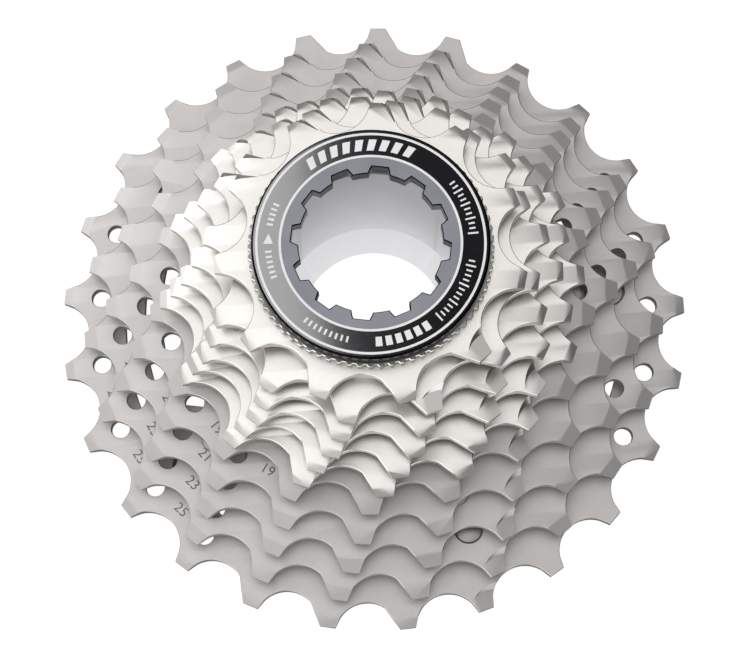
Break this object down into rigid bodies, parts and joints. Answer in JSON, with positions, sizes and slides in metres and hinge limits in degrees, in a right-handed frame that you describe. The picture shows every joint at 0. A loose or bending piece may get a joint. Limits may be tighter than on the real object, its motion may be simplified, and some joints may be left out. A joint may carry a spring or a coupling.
{
  "type": "bicycle cassette sprocket set",
  "caption": "Stepped stack of toothed rings on a splined sleeve, held by a notched lockring, for the rear wheel of a road bicycle.",
  "frame": {"origin": "on the freehub axis, at the back face of the hub and the sleeve, the side that faces the spokes", "axes": "+Z along the freehub axis, from the largest sprocket to the lockring"},
  "size_m": [0.102, 0.102, 0.0434],
  "materials": {
    "titanium": "matte bead-blasted titanium",
    "nickel": "satin nickel plate",
    "aluminium": "satin anodised",
    "composite": "carbon fibre composite",
    "anodised": "anodised, gloss black band and grey centre",
    "spacer": "dark anodised",
    "rivet": "plain steel",
    "sleeve": "white moulded plastic"
  },
  "bodies": {
    "core_sleeve": {"core_sleeve": "sleeve"},
    "large_unit": {"large_carrier": "composite", "sprocket_25": "titanium", "sprocket_23": "titanium", "sprocket_21": "titanium", "outer_rivet_1": "rivet", "outer_rivet_2": "rivet", "outer_rivet_3": "rivet", "outer_rivet_4": "rivet", "outer_rivet_5": "rivet", "inner_rivet_1": "rivet", "inner_rivet_2": "rivet", "inner_rivet_3": "rivet", "inner_rivet_4": "rivet", "inner_rivet_5": "rivet"},
    "spacer_19_21": {"spacer_19_21": "spacer"},
    "small_unit": {"small_carrier": "aluminium", "sprocket_19": "titanium", "sprocket_17": "titanium", "small_rivet_1": "rivet", "small_rivet_2": "rivet", "small_rivet_3": "rivet", "small_rivet_4": "rivet", "small_rivet_5": "rivet"},
    "spacer_16_17": {"spacer_16_17": "spacer"},
    "sprocket_16": {"sprocket_16": "nickel"},
    "spacer_15_16": {"spacer_15_16": "spacer"},
    "sprocket_15": {"sprocket_15": "nickel"},
    "spacer_14_15": {"spacer_14_15": "spacer"},
    "sprocket_14": {"sprocket_14": "nickel"},
    "spacer_13_14": {"spacer_13_14": "spacer"},
    "sprocket_13": {"sprocket_13": "nickel"},
    "sprocket_12": {"sprocket_12": "nickel"},
    "sprocket_11": {"sprocket_11": "nickel"},
    "lockring_washer": {"lockring_washer": "nickel"},
    "lockring": {"lockring": "anodised"}
  },
  "joints": [
    {"name": "large_unit_slide", "type": "slide", "parent": "core_sleeve", "child": "large_unit", "axis": [0, 0, 1], "range_m": [0, 0.0404]},
    {"name": "spacer_19_21_slide", "type": "slide", "parent": "large_unit", "child": "spacer_19_21", "axis": [0, 0, 1], "range_m": [0, 0.0305]},
    {"name": "small_unit_slide", "type": "slide", "parent": "spacer_19_21", "child": "small_unit", "axis": [0, 0, 1], "range_m": [0, 0.0284]},
    {"name": "spacer_16_17_slide", "type": "slide", "parent": "small_unit", "child": "spacer_16_17", "axis": [0, 0, 1], "range_m": [0, 0.023]},
    {"name": "sprocket_16_slide", "type": "slide", "parent": "spacer_16_17", "child": "sprocket_16", "axis": [0, 0, 1], "range_m": [0, 0.0209]},
    {"name": "spacer_15_16_slide", "type": "slide", "parent": "sprocket_16", "child": "spacer_15_16", "axis": [0, 0, 1], "range_m": [0, 0.0193]},
    {"name": "sprocket_15_slide", "type": "slide", "parent": "spacer_15_16", "child": "sprocket_15", "axis": [0, 0, 1], "range_m": [0, 0.0172]},
    {"name": "spacer_14_15_slide", "type": "slide", "parent": "sprocket_15", "child": "spacer_14_15", "axis": [0, 0, 1], "range_m": [0, 0.0155]},
    {"name": "sprocket_14_slide", "type": "slide", "parent": "spacer_14_15", "child": "sprocket_14", "axis": [0, 0, 1], "range_m": [0, 0.0134]},
    {"name": "spacer_13_14_slide", "type": "slide", "parent": "sprocket_14", "child": "spacer_13_14", "axis": [0, 0, 1], "range_m": [0, 0.0118]},
    {"name": "sprocket_13_slide", "type": "slide", "parent": "spacer_13_14", "child": "sprocket_13", "axis": [0, 0, 1], "range_m": [0, 0.0097]},
    {"name": "sprocket_12_slide", "type": "slide", "parent": "sprocket_13", "child": "sprocket_12", "axis": [0, 0, 1], "range_m": [0, 0.008]},
    {"name": "sprocket_11_slide", "type": "slide", "parent": "sprocket_12", "child": "sprocket_11", "axis": [0, 0, 1], "range_m": [0, 0.0043]},
    {"name": "lockring_lift", "type": "slide", "parent": "sprocket_11", "child": "lockring_washer", "axis": [0, 0, 1], "range_m": [0, 0.0059]},
    {"name": "lockring_turn", "type": "hinge", "parent": "lockring_washer", "child": "lockring", "pos_m": [0, 0, 0.04], "axis": [0, 0, 1], "range_deg": [0, 2160]}
  ],
  "couplings": [
    {"joint": "lockring_lift", "follows": "lockring_turn", "m_per_rad": 0.00015548}
  ]
}
